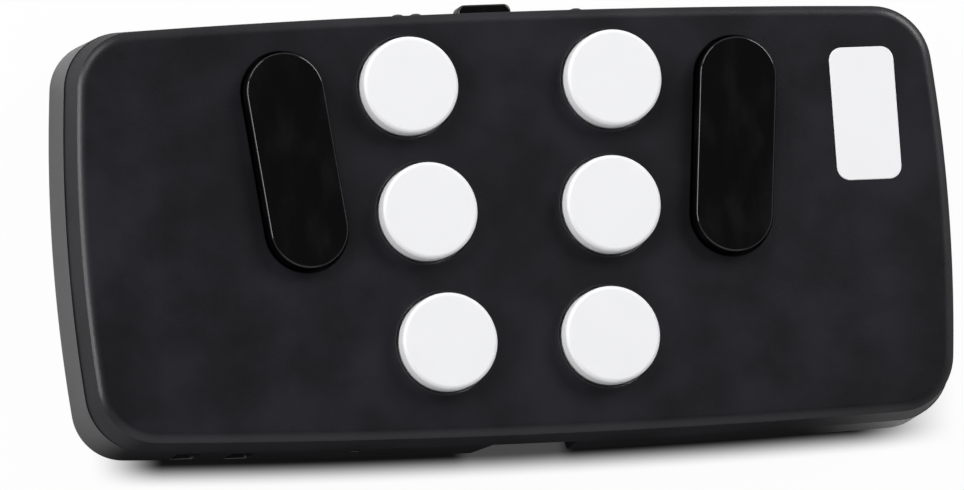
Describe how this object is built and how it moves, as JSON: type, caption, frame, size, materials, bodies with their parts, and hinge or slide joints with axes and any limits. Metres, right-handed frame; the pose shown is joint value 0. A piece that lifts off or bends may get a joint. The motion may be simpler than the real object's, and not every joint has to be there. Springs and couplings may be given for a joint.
{
  "type": "braille keyboard",
  "caption": "Flat hand-held braille keyboard with round white dot keys in leaning columns, long black bar keys beside them, a power slider on one edge and a charging socket opposite.",
  "frame": {"origin": "middle of the flat back, on the surface that the keyboard lies on", "axes": "+Z out of the key face, +X along the length, +Y towards the power slider's edge"},
  "size_m": [0.1028, 0.0506, 0.0163],
  "materials": {
    "casing": "fine satin moulded black",
    "dot_key": "satin white",
    "bar_key": "polished black",
    "slider": "polished black",
    "plunger": "natural nylon",
    "switch_housing": "moulded",
    "board": "solder mask",
    "chip": "moulded",
    "steel": "plated",
    "battery": "foil pouch",
    "foam": "foam tape",
    "lead": "insulated wire",
    "contact": "gold plated"
  },
  "bodies": {
    "casing": {"back_shell": "casing", "battery": "battery", "battery_leads": "lead", "battery_pad": "foam", "battery_plug": "plunger", "board_chips": "chip", "board_screws": "steel", "case_screws": "steel", "dot_switch_1": "switch_housing", "dot_switch_2": "switch_housing", "dot_switch_3": "switch_housing", "dot_switch_4": "switch_housing", "dot_switch_5": "switch_housing", "dot_switch_6": "switch_housing", "front_shell": "casing", "left_bar_switch": "switch_housing", "main_board": "board", "motor_contacts": "contact", "motor_pad": "foam", "power_switch_body": "steel", "radio_module": "steel", "right_bar_switch": "switch_housing", "switch_domes": "steel", "usb_socket": "steel", "usb_tongue": "chip", "vibration_motor": "steel"},
    "dot_key_1": {"dot_key_1": "dot_key", "dot_plunger_1": "plunger"},
    "dot_key_2": {"dot_key_2": "dot_key", "dot_plunger_2": "plunger"},
    "dot_key_3": {"dot_key_3": "dot_key", "dot_plunger_3": "plunger"},
    "dot_key_4": {"dot_key_4": "dot_key", "dot_plunger_4": "plunger"},
    "dot_key_5": {"dot_key_5": "dot_key", "dot_plunger_5": "plunger"},
    "dot_key_6": {"dot_key_6": "dot_key", "dot_plunger_6": "plunger"},
    "left_bar_key": {"left_bar_key": "bar_key", "left_bar_plunger": "plunger"},
    "right_bar_key": {"right_bar_key": "bar_key", "right_bar_plunger": "plunger"},
    "power_slider": {"power_slider": "slider", "power_lever": "plunger"}
  },
  "joints": [
    {"name": "dot_key_1_press", "type": "slide", "parent": "casing", "child": "dot_key_1", "axis": [0, 0, -1], "range_m": [0, 0.001], "stiffness_N_per_m": 500},
    {"name": "dot_key_2_press", "type": "slide", "parent": "casing", "child": "dot_key_2", "axis": [0, 0, -1], "range_m": [0, 0.001], "stiffness_N_per_m": 500},
    {"name": "dot_key_3_press", "type": "slide", "parent": "casing", "child": "dot_key_3", "axis": [0, 0, -1], "range_m": [0, 0.001], "stiffness_N_per_m": 500},
    {"name": "dot_key_4_press", "type": "slide", "parent": "casing", "child": "dot_key_4", "axis": [0, 0, -1], "range_m": [0, 0.001], "stiffness_N_per_m": 500},
    {"name": "dot_key_5_press", "type": "slide", "parent": "casing", "child": "dot_key_5", "axis": [0, 0, -1], "range_m": [0, 0.001], "stiffness_N_per_m": 500},
    {"name": "dot_key_6_press", "type": "slide", "parent": "casing", "child": "dot_key_6", "axis": [0, 0, -1], "range_m": [0, 0.001], "stiffness_N_per_m": 500},
    {"name": "left_bar_key_press", "type": "slide", "parent": "casing", "child": "left_bar_key", "axis": [0, 0, -1], "range_m": [0, 0.001], "stiffness_N_per_m": 500},
    {"name": "right_bar_key_press", "type": "slide", "parent": "casing", "child": "right_bar_key", "axis": [0, 0, -1], "range_m": [0, 0.001], "stiffness_N_per_m": 500},
    {"name": "power_slide", "type": "slide", "parent": "casing", "child": "power_slider", "axis": [1, 0, 0], "range_m": [0, 0.002]}
  ]
}
